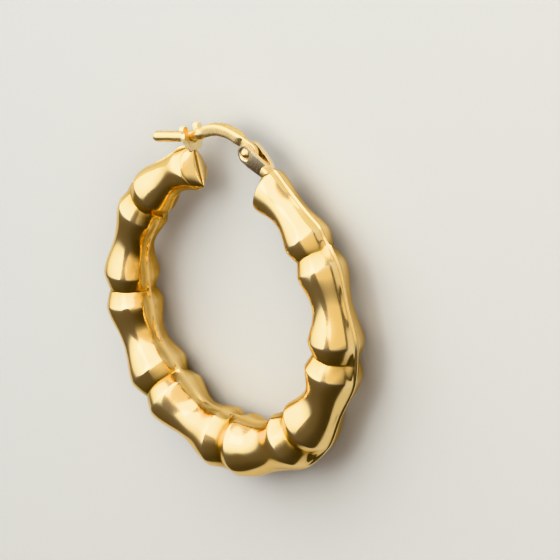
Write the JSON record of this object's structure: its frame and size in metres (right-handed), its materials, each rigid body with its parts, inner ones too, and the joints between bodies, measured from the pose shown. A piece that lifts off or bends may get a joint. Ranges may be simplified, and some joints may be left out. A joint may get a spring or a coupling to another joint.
{
  "type": "hinged bamboo hoop earring",
  "caption": "Gold bamboo-segment hoop earring with a hinged ear wire that swings on a riveted fork and drops into a slotted catch.",
  "frame": {"origin": "bottom centre of the bounding box, with the hoop lying on its side", "axes": "+Z is the axis of the hoop, +Y runs from the bottom of the hoop to its fastener, +X from the catch side to the hinge side"},
  "size_m": [0.0286, 0.0304, 0.0054],
  "materials": {
    "gold": "polished yellow gold"
  },
  "bodies": {
    "hoop": {"bamboo_hoop": "gold", "hinge_pin": "gold"},
    "wire": {"ear_wire": "gold"}
  },
  "joints": [
    {"name": "ear_wire_hinge", "type": "hinge", "parent": "hoop", "child": "wire", "pos_m": [0.00235, 0.01348, 0.00269], "axis": [0, 0, -1], "range_deg": [0, 80]}
  ]
}
